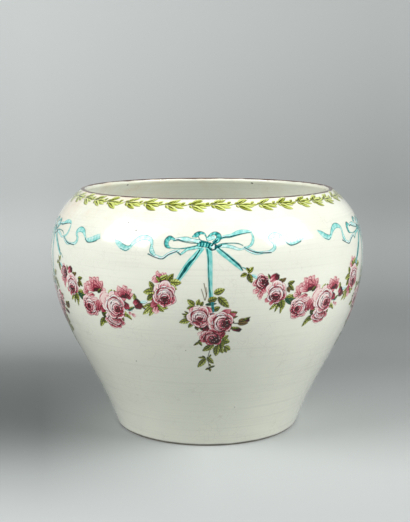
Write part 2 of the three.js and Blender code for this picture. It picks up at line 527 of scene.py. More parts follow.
def toneRamp(family, tone):
    # tone 0 is the palest ink of a family, 1 the darkest
    colours = np.array(inks[family]) / 255
    steps = np.linspace(0, 1, len(colours))
    return np.stack([np.interp(tone, steps, channel) for channel in colours.T], -1)


def heading(degrees):
    return math.cos(math.radians(degrees)), math.sin(math.radians(degrees))


def turned(dx, dy, degrees):
    c, s = heading(degrees)
    return dx * c + dy * s, dy * c - dx * s


def grain(dx, dy, seed, size=1.0):
    # the print's dots and hatching, a cheap repeatable noise between -1 and 1
    a = np.sin(dx / size * 3.1 + seed * 1.7 + 1.3 * np.sin(dy / size * 2.3 + seed))
    return a * np.sin(dy / size * 3.7 + seed * 2.9 + 1.1 * np.sin(dx / size * 2.9 - seed))


class Sheet:
    def __init__(self, left, right, top, bottom, step):
        self.step, self.left, self.top = step, left, top
        self.across = int(round((right - left) / step)) + 1
        self.down = int(round((bottom - top) / step)) + 1
        self.colour = np.ones((self.down, self.across, 3)) * inks["rose"][1] / 255
        self.cover = np.zeros((self.down, self.across))

    def window(self, x, y, reachX, reachY=None):
        # the part of the sheet round a point, and each dot's distance from that point
        part, apart = [], []
        for middle, reach, start, count in ((y, reachY or reachX, self.top, self.down),
                                            (x, reachX, self.left, self.across)):
            first = max(0, int((middle - reach - start) / self.step))
            stop = min(count, int((middle + reach - start) / self.step) + 2)
            if stop <= first:
                return None
            part.append(slice(first, stop))
            apart.append(start + np.arange(first, stop) * self.step - middle)
        return tuple(part), *np.meshgrid(apart[1], apart[0])

    def lay(self, part, family, tones, cover):
        colour = toneRamp(family, np.clip(tones, 0, 1))
        under = self.cover[part]
        total = cover + under * (1 - cover)
        share = np.where(total > 1e-6, cover / np.maximum(total, 1e-6), 1.0)[..., None]
        self.colour[part] = self.colour[part] * (1 - share) + colour * share
        self.cover[part] = total


def layPetal(sheet, part, u, v, soft, heart, x, y, radial, across, turn, tone, shade, line, seed,
             towards=None):
    # one petal of a rose, as an ellipse: deeper towards the heart, paler at its far rim, thinly outlined
    towardsX, towardsY = towards or heart
    p, q = turned(u - x, v - y, turn)
    p, q = p / radial, q / across
    around = np.arctan2(q, p)
    edge = np.hypot(p, q * (1 + 0.12 * p))
    edge = edge * (1 + 0.035 * np.sin(3 * around + seed) + 0.02 * np.sin(7 * around - seed))
    small = min(radial, across)
    far = math.hypot(towardsX - x, towardsY - y)
    inward = ((u - x) * (towardsX - x) + (v - y) * (towardsY - y)) / max(far * small, 1e-6)
    inward = inward if far > 0.02 else 0 * u
    width = 0.95 * soft / small
    rim = np.exp(-((edge - 1 + 0.7 * width) / width) ** 2)
    inner = np.exp(-((edge - 1 + 3.6 * width) / (1.8 * width)) ** 2)
    veins = np.sin(11 * q + 2.2 * p * q + seed) * smooth(0.9, 0.2, edge)
    tones = tone + shade * (0.72 * inward + 0.20 * (1 - edge)) - 0.16 * inner + 1.25 * line * rim
    tones = tones + 0.09 * veins + 0.09 * grain(u * 9, v * 9, seed, 0.6)
    sheet.lay(part, "rose", tones, smooth(1 + soft / small, 1 - soft / small, edge))


def paintRose(sheet, x, y, size, tone, heart, seed, turn=0, squash=1.0, petals=6, contrast=1.0, cup=0.60,
              core=0.22, near=1.0, light=-130, folds=5):
    # guard petals, a pale cup, its folded petals and the dark heart. light is the direction it comes from
    found = sheet.window(x, y, size * 1.35)
    if not found:
        return
    part, dx, dy = found
    u, v = turned(dx / size, dy / size, turn)
    v = v / squash
    petal = functools.partial(layPetal, sheet, part, u, v, 0.62 * sheet.step / size, heart)
    heartX, heartY = heart
    rings = ((petals, 0.56, 0.42, 0.40, 0.0), (petals - 1, 0.40, 0.38, 0.36, 0.5))
    for ring, (count, away, radial, across, start) in enumerate(rings):
        angles = [360 / count * (k + start) + seed * 37 for k in range(count)]
        order = sorted(range(count), key=lambda k: heading(angles[k] - light - 40)[0])
        for k in order[::-1] if ring else order:
            angle = angles[k] + 9 * math.sin(seed * 3 + k * 2.3 + ring)
            c, s = heading(angle)
            facing = heading(angle + turn - light)[0]
            wide = 1 + 0.12 * math.sin(k * 2.9 + seed)
            base = 0.36 + tone - 0.19 * contrast * facing + 0.06 * math.sin(k * 4.3 + seed) + 0.06 * ring
            petal(c * away + heartX * 0.25 * ring, s * away + heartY * 0.25 * ring, radial * wide,
                  across * wide * 1.12, angle, base, 0.55 * contrast,
                  (0.34 - 0.10 * facing + 0.12 * ring) * contrast, seed + k)
    # the cup opens away from the light, so its near wall is pale and its far one shows between the folds
    lean = math.degrees(math.atan2(heartY, heartX)) if math.hypot(heartX, heartY) > 0.03 else 90
    c, s = heading(lean)
    cupX, cupY = heartX * 0.55, heartY * 0.55
    petal(cupX - 0.03 * c, cupY - 0.03 * s, cup * 1.08, cup * 1.07, lean, 0.74 + tone * 0.5, 0.1, 0.1,
          seed + 2)
    petal(cupX, cupY, cup, cup * 0.98, lean, 0.17 + tone, 0.42 * contrast, 0.46 * contrast, seed)
    for fold in range(folds):
        share = (fold + 1) / (folds + 0.6)
        foldX, foldY = cupX + (heartX - cupX) * share * 1.15, cupY + (heartY - cupY) * share * 1.15
        spread = cup * (1 - share) ** 0.85 + 0.09
        base = 0.14 + tone + (0.54 * share ** 1.2) * contrast + 0.09 * math.sin(fold * 3.1 + seed)
        petal(foldX + 0.05 * math.cos(fold * 2.2 + seed), foldY + 0.04 * math.sin(fold * 2.7 + seed), spread,
              spread * 0.94, lean + 26 * math.sin(seed * 2.1 + fold * 2.4), base, 0.42 * contrast,
              (0.42 + 0.14 * share) * contrast, seed + fold * 3, (heartX + 0.06 * c, heartY + 0.06 * s))
    petal(heartX, heartY, core, core * 0.66, lean + 90, 0.86 + tone * 0.3, 0.2, 0.1, seed)
    petal(heartX - 0.3 * core * c, heartY - 0.3 * core * s, core * 0.6, core * 0.22, lean + 80, 0.52, 0.1,
          0.3, seed + 1)
    # two near petals fold over the front of the cup
    for number, (swing, reach, base) in enumerate(((-34, 0.46, 0.44), (30, 0.52, 0.38))[:2 if near else 0]):
        angle = lean + swing + 8 * math.sin(seed + number)
        c, s = heading(angle)
        petal(heartX + reach * c, heartY + reach * s, 0.20 * near, 0.46 * near, angle + 12 * math.sin(seed),
              base + tone, 0.60 * contrast, 0.44 * contrast, seed + 5 + number)
    # short engraved arcs round the heart, dark between the folds and pale on them
    away, angle = np.hypot(u - heartX, v - heartY), np.arctan2(v - heartY, u - heartX)
    waves = away * (17 + 2 * np.sin(angle * 2 + seed)) + 0.9 * np.sin(angle * 3 + seed * 1.3)
    waves = np.sin(waves + 0.5 * np.sin(angle * 7 - seed))
    broken = np.sin(angle * 5 + away * 9 + seed) + 0.7 * np.sin(angle * 11 - away * 14 + seed * 2)
    within = smooth(1.0, 0.86, np.hypot(u, v)) * sheet.cover[part]
    line = smooth(0.55, 0.95, waves) * smooth(0.1, 0.8, broken) * within
    sheet.lay(part, "rose", 0 * u + 0.88, 0.62 * contrast * line * smooth(1.0, 0.5, away))
    line = smooth(0.55, 0.95, -waves) * smooth(0.0, 0.8, -broken) * within
    sheet.lay(part, "rose", 0 * u + 0.04, 0.55 * line * smooth(0.10, 0.35, away))


def paintFan(sheet, x, y, size, tone, seed, turn, spread, petals, squash=0.8):
    # a half-open flower seen from the side: rows of narrow petals spread from one point, up at turn -90
    for row, (reach, deeper, wide) in enumerate(((1.0, 0.0, 0.34), (0.70, 0.16, 0.32), (0.42, 0.34, 0.30))):
        count = max(3, int(petals * (1 - 0.22 * row)))
        for k in sorted(range(count), key=lambda k: -abs(k - (count - 1) / 2)):
            share = (k + 0.5) / count - 0.5
            angle = turn + spread * share * (1 - 0.12 * row) + 5 * math.sin(seed + k * 2.7 + row)
            length = size * reach * (0.92 + 0.16 * math.sin(seed * 1.7 + k * 4.1 + row))
            length = length * (1 - (1 - squash) * abs(2 * share) ** 1.5)
            c, s = heading(angle)
            out = length / 2 - 0.054 * size
            paintPetal(sheet, x + c * out, y + s * out, length, size * wide * (1 + 0.2 * reach), angle,
                       0.34 + tone + deeper + 0.07 * math.sin(k * 3.3 + seed), 0.62, seed=seed + k, line=0.50)
    paintPetal(sheet, x, y, size * 0.44, size * 0.28, turn + 90, 0.86, 0.1, seed=seed)


def paintPetal(sheet, x, y, length, width, turn, tone, shade=0.45, family="rose", seed=0, line=0.36):
    # one loose petal: its tip points along `turn`, paler at the tip, deeper at the root
    found = sheet.window(x, y, max(length, width) * 0.75)
    if not found:
        return
    part, dx, dy = found
    u, v = turned(dx, dy, turn)
    u, v = u / (length / 2), v / (width / 2)
    edge = np.hypot(u, v / (1 + 0.18 * u)) * (1 + 0.06 * np.sin(5 * np.arctan2(v, u) + seed))
    soft = 0.6 * sheet.step / min(length, width) * 2 + 0.04
    rim = np.exp(-((edge - 0.93) / 0.12) ** 2) * np.clip(0.55 + 0.6 * v, 0, 1)
    tones = tone - shade * u * 0.6 + line * rim
    tones = tones + 0.13 * np.sin(8 * v + seed) * smooth(0.7, -0.5, u) + 0.06 * grain(dx, dy, seed, 0.5)
    sheet.lay(part, family, tones, smooth(1 + soft, 1 - soft, edge))


def paintLeaf(sheet, x0, y0, x1, y1, width, tone, bend=0.0, family="leaf", teeth=0.07, seed=0, vein=1.0,
              outline=1.0):
    # from the stalk end to the tip
    length = math.hypot(x1 - x0, y1 - y0)
    found = sheet.window((x0 + x1) / 2, (y0 + y1) / 2, length * 0.62 + width)
    if not found:
        return
    part, dx, dy = found
    u, v = turned(dx, dy, math.degrees(math.atan2(y1 - y0, x1 - x0)))
    along = u / length + 0.5
    v = v - bend * length * (0.25 - (along - 0.5) ** 2)
    half = width * 0.54 * np.sin(math.pi * np.clip(along, 0.0, 1.0) ** 0.80) ** 0.72 + 1e-3
    half = half * (1 + teeth * (((along * 5.5 + seed) % 1.0) - 0.5) * 2)
    side = v / half
    soft = 0.55 * sheet.step / half + 0.05
    mask = smooth(1 + soft, 1 - soft, np.abs(side)) * ((along > -0.01) & (along < 1.01))
    rib = np.exp(-(v / 0.36) ** 2) * smooth(0.98, 0.75, along)
    hatch = np.sin(2 * math.pi * (along * 4.6 - np.abs(side) * 0.8 + seed * 0.3))
    hatch = hatch * smooth(0.1, 0.35, np.abs(side))
    line = smooth(half - 0.75, half - 0.10, np.abs(v)) * (0.75 + 0.5 * side)
    tones = tone - 0.20 + 0.20 * side + 0.56 * vein * rib + 0.09 * vein * hatch * (1 - rib)
    tones = tones + 0.62 * outline * line + 0.20 * (0.5 - along) + 0.08 * grain(dx, dy, seed, 0.5)
    sheet.lay(part, family, tones, mask)


def smoothPath(points, spacing=0.35):
    # Catmull-Rom through (x, y, width) points
    points = np.array(points, float)
    padded = np.vstack([2 * points[0] - points[1], points, 2 * points[-1] - points[-2]])
    walked = []
    for i in range(1, len(padded) - 2):
        a, b, c, d = padded[i - 1:i + 3]
        t = np.linspace(0, 1, max(2, int(np.hypot(*(c - b)[:2]) / spacing)), endpoint=False)[:, None]
        curve = (2 * a - 5 * b + 4 * c - d) * t ** 2 + (3 * b - a - 3 * c + d) * t ** 3
        walked.append(0.5 * (2 * b + (c - a) * t + curve))
    return np.vstack(walked + [padded[-2:-1]])


def paintStroke(sheet, points, tone, edge, family="ribbon", cover=1.0, lean=0.0, seed=0, mottle=0.06):
    # a brush stroke of changing width. edge darkens both sides, lean darkens one side
    path = smoothPath(points)
    low, high, widths = path[:, :2].min(0), path[:, :2].max(0), path[:, 2]
    centre = (low + high) / 2
    found = sheet.window(*centre, *((high - low) / 2 + widths.max() + 1 - sheet.step))
    if not found:
        return
    part, x, y = found
    x, y = x + centre[0], y + centre[1]
    nearest = np.full(x.shape, 1e9)
    index = np.zeros(x.shape, int)
    for i, (px, py, w) in enumerate(path):
        away = np.hypot(x - px, y - py) / max(w, 0.3)
        closer = away < nearest
        nearest[closer], index[closer] = away[closer], i
    forward = np.gradient(path[:, :2], axis=0)
    forward = (forward / np.maximum(np.hypot(*forward.T)[:, None], 1e-9))[index]
    offX, offY = x - path[index, 0], y - path[index, 1]
    half = np.maximum(widths[index] / 2, 0.2)
    side = (offY * forward[..., 0] - offX * forward[..., 1]) / half
    beyond = np.abs(offX * forward[..., 0] + offY * forward[..., 1])
    along = index / max(1, len(path) - 1)
    soft = 0.55 * sheet.step / half + 0.06
    tones = tone + edge * smooth(0.45, 1.0, np.abs(side)) + lean * side + 0.03 * grain(x, y * 0.4, seed, 1.1)
    tones = tones + mottle * (np.sin(along * 31 + seed + side) + 0.7 * np.sin(along * 13 - seed))
    mask = smooth(1 + soft, 1 - soft, np.abs(side)) * smooth(1.0, 0.5, beyond)
    sheet.lay(part, family, tones, mask * cover)


def crisp(sheet, amount):
    # the inks stand apart at their edges, as fine dots printed side by side do
    def spread(field):
        for axis in (0, 0, 1, 1):
            field = (np.roll(field, -1, axis) + field + np.roll(field, 1, axis)) / 3
        return field

    around = spread(sheet.colour * sheet.cover[..., None]) / np.maximum(spread(sheet.cover), 1e-3)[..., None]
    solid = smooth(0.2, 0.9, sheet.cover)[..., None]
    sheet.colour = np.clip(sheet.colour + amount * solid * (sheet.colour - around), 0.0, 1.0)


# where each motif of the print sits, as read off the bowl: millimetres round the belly from the front,
# and millimetres down from the lip
borderSprig = dict(
    pitchCount=40, start=-20.3, wander=0.9, streaked=2.6, fuller=1.2,
    leaves=(  # stalk x, y, tip x, y, width, tone
        (7.8, 4.4, 16.4, 0.9, 2.3, 0.28), (3.4, 5.8, 13, 1, 3.7, 0.32), (6.6, 7, 25, 7.2, 4, 0.28),
        (11.6, 8.6, 20.8, 10.6, 2.5, 0.24), (4.2, 8.4, 16.4, 14.2, 4.3, 0.3), (0.2, 6.6, 3.8, 4.2, 2, 0.38),
        (1.4, 7.6, 5, 11, 2.2, 0.32), (18, 5.8, 22.4, 3.8, 2.2, 0.36),
    ),
    stem=((-2.5, 7, 0.5), (1.5, 6.6, 0.9), (5, 7.2, 1.1), (8.5, 7.4, 0.7)),
)

# ribbon strokes: their points (x, y, width), how dark, how much darker at the edges, and what else differs
bowStrokes = (
    (((-3, 43.5, 2.4), (-9, 42.6, 3.6), (-14, 41.6, 3), (-18, 41, 4.2), (-24, 40.8, 2.6), (-30, 41.6, 1.4)),
     0.12, 0.62),
    (((-8, 44.6, 0.8), (-14, 44.3, 0.9), (-20, 43.4, 0.9), (-25, 41.9, 1.5), (-29, 42.6, 0.9)), 0.82, 0.1),
    (((-29, 41.2, 1.6), (-33, 40.2, 4), (-35.6, 43.2, 4.4), (-35.2, 47, 3.8), (-32.4, 48.8, 1.4)),
     0.56, 0.26, dict(lean=0.2)),
    (((-32, 49, 0.8), (-25, 49.4, 0.8), (-18, 48.8, 1.4), (-10, 47.2, 1.6), (-4, 45.8, 2)), 0.66, 0.2),
    (((-5, 47.4, 2.6), (-11, 48.6, 2.6), (-17, 50, 2.2), (-20, 52.2, 2.2), (-22.8, 54.2, 1.4)), 0.34, 0.5),
    (((-22.8, 54.4, 1.1), (-25, 52.6, 1.3), (-27.5, 51, 1)), 0.85, 0.1),
    (((-24, 51, 1.6), (-29, 52.2, 2.6), (-34, 54.8, 2.6), (-38.6, 57.6, 2.4), (-44, 56.6, 2.8),
      (-50, 54.2, 2.6)), 0.1, 0.35),
    (((-26, 51.6, 0.7), (-33, 54.6, 0.9), (-38.6, 58.4, 0.9), (-45, 57.4, 0.8), (-51.4, 54.9, 1.2)),
     0.86, 0.1),
    (((-45.6, 55.4, 1.6), (-48.4, 52.4, 4.2), (-49, 49, 2.8), (-48.8, 46, 2.2)),
     0.2, 0.5, dict(lean=-0.15)),
    (((-48.6, 46.4, 2), (-50.2, 42.6, 3.6), (-54.5, 40.8, 4.8), (-60, 41.4, 5), (-65.4, 44.8, 3.8),
      (-69.4, 49.2, 2.4)), 0.26, 0.4, dict(lean=0.1)),
    (((-69, 49.6, 2.2), (-72.8, 51, 4.4), (-77.5, 50, 5.4), (-82, 47.4, 4.6), (-86.5, 44.6, 1.2)),
     0.3, 0.2, dict(lean=0.22, cover=0.95)),
    (((-70.6, 51.6, 0.7), (-74, 53.2, 0.9), (-79, 51.8, 0.8)), 0.66, 0),
    (((10, 40.8, 2.2), (16, 38.8, 2.8), (22, 37.6, 3), (29, 35.2, 4.4), (36, 34.6, 3.2), (40, 35.4, 1.4)),
     0.3, 0.22, dict(lean=0.14)),
    (((9, 41.6, 1), (15, 39.4, 1.1), (20, 39.2, 1.6), (27, 37.6, 1.2), (34, 36.2, 0.8), (40, 35.6, 0.7)),
     0.84, 0),
    (((40, 35.6, 1.2), (41.2, 39.5, 1.9), (40.4, 44, 2.6), (37.6, 47.4, 2), (33, 48.6, 1.4)), 0.3, 0.35),
    (((8, 46.8, 1.2), (13, 45.2, 1.3), (20, 44.6, 1), (27, 45, 1), (31, 46.6, 0.8)), 0.72, 0.1),
    (((10, 47, 2.4), (16, 46.9, 3), (22, 48, 2.8), (27, 49.8, 2.2), (31, 49.8, 1.4), (34, 48.4, 1.2)),
     0.16, 0.5),
    (((32, 48.6, 1.6), (37, 51.2, 3.2), (43, 53.6, 3), (50, 53.4, 2.2), (56, 52.8, 2.6), (60.2, 50.2, 3.2),
      (60.6, 46.4, 2.6)), 0.18, 0.42),
    (((33, 48.8, 0.8), (38, 51.4, 0.9), (44, 53.4, 1.1), (51, 53.8, 1), (56.5, 53.8, 0.9)), 0.85, 0.1),
    (((60.4, 46.6, 2.2), (57.4, 43.4, 2.8), (57.6, 40.6, 4.2), (62, 38.6, 5.2), (67.4, 39.8, 4.2),
      (71.2, 43.6, 2.2), (73.6, 46.4, 1.8)), 0.24, 0.4, dict(lean=-0.1)),
    (((73, 46.2, 1.6), (77, 47, 4), (82, 45.8, 5.2), (87, 43.6, 5.4), (91, 42, 4.6)),
     0.26, 0.24, dict(lean=0.24, cover=0.9)),
    (((72.4, 45.6, 0.8), (76.5, 48.6, 1), (82, 48.2, 0.9), (88, 46.4, 0.7)), 0.86, 0),
)
knotStrokes = (
    (((-12.4, 38.8, 1.4), (-9.6, 37.4, 4.4), (-6.4, 35.4, 3.2), (-2.6, 36, 1.8), (-0.8, 38.6, 1.2),
      (0.2, 41.6, 1.2)), 0.62, 0.22, dict(lean=-0.1, mottle=0.1)),
    (((-7.5, 38.9, 0.8), (-6, 41.4, 0.8), (-3, 43, 1.4), (0.5, 43.6, 1.6)), 0.78, 0.1),
    (((0.4, 39.6, 1.2), (3.6, 36.8, 2.2), (7.4, 35.8, 3.4), (10.4, 38, 4.6), (9.6, 41.4, 4.4),
      (6, 44, 3.2)), 0.58, 0.3, dict(mottle=0.1)),
    (((1, 41, 3.2), (3.4, 40, 4), (6.4, 39.4, 2.6)), 0.16, 0.35),
    (((9, 41.8, 1), (6, 44, 1.4), (3.4, 46.6, 1.4)), 0.92, 0),
    (((-8, 46, 2), (-3.6, 45.6, 4.4), (1, 46, 5.2), (4.4, 47.2, 5.4)), 0.62, 0.24, dict(mottle=0.14)),
    (((2.2, 45.4, 1.2), (1.8, 48.4, 1.3), (4.2, 50.2, 1.4), (7.4, 49.2, 1.4), (8.2, 46.6, 1.3),
      (6, 45, 1.1), (4, 46.4, 1)), 0.92, 0),
    (((4.4, 47.8, 1.4), (6.2, 47, 1.2)), 0.1, 0.1),
    (((7.4, 47.4, 2.6), (10, 47.4, 2.2), (12.4, 46.4, 1)), 0.88, 0.1),
    (((-6, 43.4, 1.2), (-2.4, 43.2, 1.6), (0.8, 44.2, 1.4)), 0.84, 0),
)
tieStrokes = dict(
    left=(
        (((-4, 48.5, 4.2), (-8.6, 54, 4.6), (-14, 60.4, 5.4), (-19.4, 68, 5.2), (-24.6, 76, 3.8)),
         0.36, 0.06),
        (((-6.2, 50.4, 1.2), (-11, 57.6, 1.6), (-15.6, 62.4, 2.8), (-19.8, 68.8, 2.6), (-25.4, 77, 1.4)),
         0.84, -0.15),
    ),
    centre=(
        (((1.4, 49, 5.2), (2.4, 56, 4.6), (2.6, 66, 4.4), (2.8, 76, 3.9), (3.2, 86, 3.4), (4, 93, 3.2)),
         0.4, 0.1, dict(lean=0.12)),
        (((0.4, 50, 0.9), (1.2, 58, 0.9), (1.4, 70, 1), (2, 82, 1.6), (3, 92, 2.6)), 0.72, 0),
        (((4.6, 96, 2.4), (5, 100, 2.8), (5.4, 104, 1.4)), 0.82, -0.1),
    ),
    right=(
        (((7.6, 47.6, 3.6), (12.6, 52.4, 4.4), (18.6, 57, 4.6), (25, 62.6, 4), (29.8, 67.4, 1.8)),
         0.38, 0.1),
        (((10, 48.6, 1), (15.8, 53.2, 1.2), (22, 58.6, 1.6), (27.6, 63.4, 1.8), (30.4, 67.6, 1)), 0.84, 0),
        (((30.8, 65.6, 0.9), (33.4, 66.8, 1.1), (36, 69, 0.9)), 0.62, 0.1),
    ),
)

# pinholes in the glaze that have taken dirt, beside the front bow: x, y, size
pinholes = ((-76.4, 27.8, 1.7), (-66.3, 34.8, 2), (-76.6, 160, 1.1), (-20.4, 143, 0.9))

# motifs in the order they are laid on, tone last. leaf: stalk x, y, tip x, y, width. petal: x, y, length,
# width, turn. rose and fan: x, y, size. stem and stalk: points
swagMotifs = (
    ("leaf", (35, 70.4, 40.2, 65.2, 3.8, 0.4), (34.4, 70.8, 28.4, 73.2, 3.6, 0.5),
     (35.2, 71, 38.8, 79.4, 5, 0.66), (36.2, 68.8, 33.6, 65.4, 2.4, 0.5),
     (38.4, 72, 46, 76, 2.8, 0.35, dict(family="ribbon", vein=0.4))),
    ("petal", (41.6, 80.4, 5, 4, 190, 0.34), (42.8, 86.4, 6.4, 5, 160, 0.24), (46.8, 89.6, 7, 5, 110, 0.28),
     (49.4, 86.6, 5.4, 5, 60, 0.34), (46.6, 92.6, 4, 3, 100, 0.22)),
    ("rose",
     (47.4, 78.9, 7.6, 0.26, dict(heart=(0.2, 0.02), petals=5, seed=3, core=0.34, near=0, cup=0.66))),
    ("leaf", (55.8, 77, 53.4, 71.8, 2.2, 0.6), (63.4, 79, 67.6, 77, 2.4, 0.6)),
    ("petal", (59.4, 76.2, 9.4, 7.6, -35, 0.46, dict(shade=-0.6, seed=1)),
     (62, 75.2, 5.4, 4, -60, 0.8, dict(shade=-0.2, seed=2))),
    ("leaf", (66, 80, 71, 76.6, 3.2, 0.5, dict(family="brown")), (72.6, 82.4, 80, 80.2, 3.6, 0.6),
     (73.4, 83.2, 79.4, 88.6, 4.2, 0.65), (72.2, 85, 75, 90, 3.6, 0.6, dict(family="brown")),
     (64, 98, 56, 104.6, 3.4, 0.4), (65, 99, 61.4, 107, 2.6, 0.45), (66.4, 95.4, 69.4, 105, 7, 0.62),
     (68, 102, 67.2, 109, 2.6, 0.38), (62, 96, 66, 101, 3.2, 0.7),
     (70.4, 95.6, 83.4, 97, 8, 0.6, dict(family="teal", bend=-0.1)), (72.4, 94, 79.6, 92.6, 3.4, 0.38),
     (72, 96, 80, 101.6, 4.4, 0.75, dict(family="teal"))),
    ("petal", (54.2, 94.6, 7, 4.6, 150, 0.42), (57.6, 97.4, 6, 3.6, 120, 0.46)),
    ("rose",
     (62, 88.6, 11.2, -0.02,
      dict(heart=(-0.04, 0.4), seed=7, turn=6, squash=0.94, contrast=1.15, core=0.4, near=0, cup=0.62))),
    ("petal", (84.6, 89.2, 10, 6, -115, 0.26), (82, 93, 6, 4.6, 200, 0.22), (89.4, 95.8, 12, 6, 160, 0.24),
     (88.6, 86, 9, 5.4, -150, 0.3), (105.4, 88.6, 8.4, 4.6, -14, 0.46)),
    ("fan", (97.6, 89, 13.2, 0.02, dict(turn=-94, spread=196, petals=13, seed=2, squash=0.96))),
    ("leaf", (99.6, 91.6, 105.2, 87, 3, 0.75), (112.6, 91.4, 117, 86.4, 3.2, 0.3),
     (116.4, 91, 120.4, 86.8, 2.6, 0.36), (101.4, 108, 109, 116.4, 6.4, 0.72),
     (103, 114.6, 94.6, 125, 5, 0.52), (107, 114, 100.4, 120.4, 5.4, 0.66),
     (119.6, 108.6, 126.6, 115, 6, 0.7), (124, 105.4, 132.4, 111, 5, 0.42), (130, 108, 135, 113.4, 3, 0.4),
     (127.6, 100, 137, 104.4, 4.6, 0.36, dict(family="ribbon", vein=0.5)),
     (132, 104, 139.6, 100.4, 3, 0.55, dict(family="teal"))),
    ("petal", (137.4, 108.4, 4.6, 3.2, 30, 0.22), (133.8, 107, 3.6, 2.8, 60, 0.26)),
    ("rose",
     (114.6, 116.6, 12.2, 0.1, dict(heart=(0.1, -0.3), squash=0.62, seed=11, turn=8, near=0.9, core=0.1)),
     (87.8, 105.6, 12.2, 0.04,
      dict(heart=(-0.22, 0.02), seed=5, turn=-10, squash=0.92, core=0.2, near=0.8))),
    ("petal", (99, 103.6, 12, 6.4, -80, 0.44, dict(seed=3)),
     (93.6, 98.4, 10, 4.4, -14, 0.1, dict(shade=0.1)), (104.4, 106, 9, 6, 150, 0.62),
     (105.6, 94.4, 13, 7.6, -48, 0.1, dict(shade=0.25)), (103, 99.6, 9, 6, -70, 0.16),
     (124, 94.8, 14, 6, -8, 0.46, dict(seed=4)), (130.6, 100, 8, 6.4, 60, 0.66)),
    ("rose",
     (115.8, 100.4, 13.6, -0.1,
      dict(heart=(0.36, 0.28), seed=9, turn=4, contrast=1.2, core=0.26, near=0.8))),
    ("fan", (129.4, 92, 11.4, 0.04, dict(turn=-88, spread=180, petals=11, seed=8, squash=0.95))),
    ("petal", (133.4, 91.4, 7, 4, 40, 0.72)),
    ("leaf", (140.8, 94.6, 139.6, 88, 3.6, 0.5), (146, 98, 150, 102, 2.4, 0.6, dict(family="brown"))),
    ("petal", (142.8, 97.6, 10, 8.4, 70, 0.8, dict(shade=0.3, seed=6)), (140.4, 96, 5.6, 4.4, 110, 0.55)),
    ("leaf", (145.4, 95.6, 152.6, 94.4, 3.2, 0.22, dict(family="ribbon", vein=0.3)),
     (158.6, 83, 154.8, 76, 4.6, 0.56), (160, 84.6, 148.6, 86.4, 6, 0.46),
     (158.6, 87.6, 152, 93.6, 5.4, 0.62), (158, 96.4, 148, 99.6, 3.8, 0.45),
     (157.4, 98, 146.6, 107, 4.4, 0.38), (159, 99, 152.6, 108, 4, 0.4)),
    ("petal", (159, 96.6, 9, 6, 160, 0.5), (159.6, 101.6, 7.4, 6.4, 110, 0.22)),
    ("leaf", (161, 97.6, 171, 99.6, 5, 0.4), (162, 98.6, 167, 103, 4.4, 0.45)),
    ("petal", (160.8, 74, 7, 5, 200, 0.34)),
    ("fan", (165, 75.6, 9.4, 0.02, dict(turn=-96, spread=180, petals=9, seed=12))),
    ("leaf", (164, 74.6, 171.6, 70, 4.2, 0.4), (170, 77, 176.6, 68.6, 5, 0.6),
     (173.4, 76, 183.4, 76.4, 6, 0.42), (173, 77.6, 179.4, 82.6, 4, 0.36), (165, 76, 161, 71, 3, 0.5)),
    ("petal", (160, 92.6, 8, 5.4, 150, 0.6)),
    ("rose",
     (168.2, 86.8, 11.8, 0.04,
      dict(heart=(-0.02, 0.34), seed=14, turn=-6, contrast=1.15, core=0.3, near=0.8))),
)
